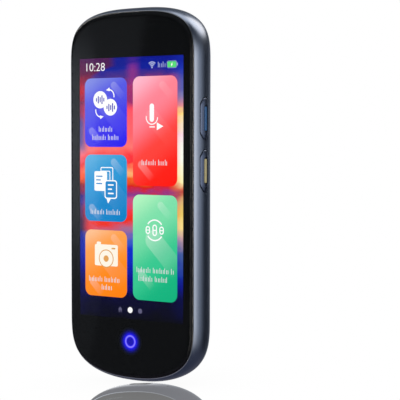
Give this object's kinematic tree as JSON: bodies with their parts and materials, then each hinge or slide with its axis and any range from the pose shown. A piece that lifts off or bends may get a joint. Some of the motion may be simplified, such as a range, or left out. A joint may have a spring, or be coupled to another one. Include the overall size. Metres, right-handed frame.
{
  "type": "handheld translator",
  "caption": "Slim handheld translator with a touch screen in front, two side keys, and a round speaker grille with a camera in its middle on the back.",
  "frame": {"origin": "under the middle of the body, on the plane that its lower end touches when it is held upright as in the picture", "axes": "+Z along the body towards the camera end, +Y from the screen towards the back, +X towards the side with the keys"},
  "size_m": [0.0564, 0.0132, 0.1314],
  "materials": {
    "cover_glass": "black back-printed toughened glass, polished",
    "adhesive": "black foam tape",
    "display": "lit colour display",
    "touch_ring": "lit blue-violet light guide",
    "white_plastic": "white moulded plastic",
    "frame_paint": "slate-blue metallic paint, satin gloss",
    "cover_paint": "slate-blue metallic paint, satin gloss",
    "key_metal": "slate-blue metallic paint",
    "blue_inlay": "blue moulded inlay",
    "yellow_inlay": "yellow moulded inlay",
    "camera_silver": "turned bright aluminium",
    "camera_glass": "coated lens glass",
    "speaker_mesh": "black woven dust mesh",
    "black_plastic": "black moulded plastic",
    "foam": "black foam",
    "steel": "pressed stainless steel",
    "board": "green solder resist",
    "chip": "black moulded package",
    "flex": "amber polyimide film",
    "battery": "foil pouch"
  },
  "bodies": {
    "body": {"cover_glass": "cover_glass", "glass_adhesive": "adhesive", "display_panel": "display", "display_backlight": "white_plastic", "display_flex": "flex", "touch_light_guide": "touch_ring", "touch_light": "white_plastic", "touch_board": "board", "side_frame": "frame_paint", "mid_plate": "steel", "mid_plate_screw_1": "steel", "mid_plate_screw_2": "steel", "mid_plate_screw_3": "steel", "mid_plate_screw_4": "steel", "mid_plate_screw_5": "steel", "mid_plate_screw_6": "steel", "main_board": "board", "main_board_screw_1": "steel", "main_board_screw_2": "steel", "main_board_screw_3": "steel", "shield_can_left": "steel", "shield_can_right": "steel", "processor": "chip", "memory_chip": "chip", "battery": "battery", "battery_protection_board": "board", "battery_lead": "flex", "lower_board": "board", "lower_board_screw_1": "steel", "lower_board_screw_2": "steel", "lower_flex": "flex", "usb_socket_shell": "steel", "usb_socket_tongue": "black_plastic", "lower_microphone": "steel", "upper_microphone": "steel", "aerial_carrier": "black_plastic", "wifi_aerial": "flex", "speaker_driver": "black_plastic", "speaker_gasket": "foam", "speaker_mesh": "speaker_mesh", "camera_module": "black_plastic", "camera_lens": "camera_glass", "camera_window": "camera_glass", "camera_ring": "camera_silver", "rear_cover": "cover_paint", "upper_switch": "steel", "lower_switch": "steel", "key_switch_board": "flex"},
    "upper_key": {"upper_key_cap": "key_metal", "upper_key_strip": "blue_inlay", "upper_switch_plunger": "black_plastic"},
    "lower_key": {"lower_key_cap": "key_metal", "lower_key_strip": "yellow_inlay", "lower_switch_plunger": "black_plastic"}
  },
  "joints": [
    {"name": "upper_key_press", "type": "slide", "parent": "body", "child": "upper_key", "axis": [-1, 0, 0], "range_m": [0, 0.0004], "stiffness_N_per_m": 4000},
    {"name": "lower_key_press", "type": "slide", "parent": "body", "child": "lower_key", "axis": [-1, 0, 0], "range_m": [0, 0.0004], "stiffness_N_per_m": 4000}
  ]
}
